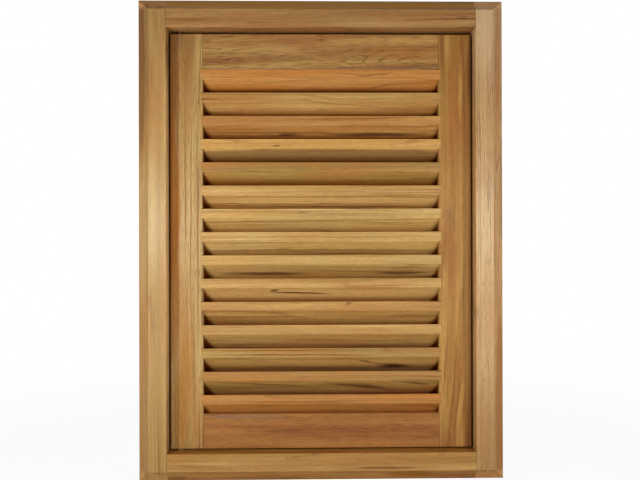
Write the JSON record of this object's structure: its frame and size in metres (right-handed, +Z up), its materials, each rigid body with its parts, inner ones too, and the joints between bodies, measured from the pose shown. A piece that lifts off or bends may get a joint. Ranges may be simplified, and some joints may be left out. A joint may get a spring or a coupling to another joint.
{
  "type": "louvred door",
  "caption": "Louvred teak locker door hung on concealed pivot pins in a bevelled, flanged frame that drops into a cut-out in a wall.",
  "frame": {"origin": "middle of the frame's lower edge, on the wall face where the flange bears", "axes": "+X to the right seen from the front, +Y into the wall, +Z up"},
  "size_m": [0.386, 0.046, 0.508],
  "materials": {
    "frame_teak": "oiled, planed smooth",
    "door_teak": "oiled, planed smooth",
    "slat_teak": "oiled, planed smooth",
    "turned_brass": "turned",
    "plated_steel": "zinc plated",
    "brown_plastic": "moulded",
    "ferrite": "pressed and fired"
  },
  "bodies": {
    "frame": {"frame_stile_left": "frame_teak", "frame_stile_right": "frame_teak", "frame_rail_top": "frame_teak", "frame_rail_bottom": "frame_teak", "pivot_pin_upper": "turned_brass", "pivot_pin_lower": "turned_brass", "pivot_washer": "turned_brass", "catch_housing": "brown_plastic", "catch_magnet": "ferrite", "catch_poles": "plated_steel", "catch_screws": "turned_brass"},
    "door": {"door_stile_hinge": "door_teak", "door_stile_free": "door_teak", "door_rail_top": "door_teak", "door_rail_bottom": "door_teak", "slat_01": "slat_teak", "slat_02": "slat_teak", "slat_03": "slat_teak", "slat_04": "slat_teak", "slat_05": "slat_teak", "slat_06": "slat_teak", "slat_07": "slat_teak", "slat_08": "slat_teak", "slat_09": "slat_teak", "slat_10": "slat_teak", "slat_11": "slat_teak", "slat_12": "slat_teak", "slat_13": "slat_teak", "slat_14": "slat_teak", "slat_15": "slat_teak", "pivot_bush_upper": "turned_brass", "pivot_bush_lower": "turned_brass", "strike_plate": "plated_steel", "strike_screw": "turned_brass"}
  },
  "joints": [
    {"name": "door_swing", "type": "hinge", "parent": "frame", "child": "door", "pos_m": [-0.151, 0.00707, 0.03], "axis": [0, 0, -1], "range_deg": [0, 100]}
  ]
}
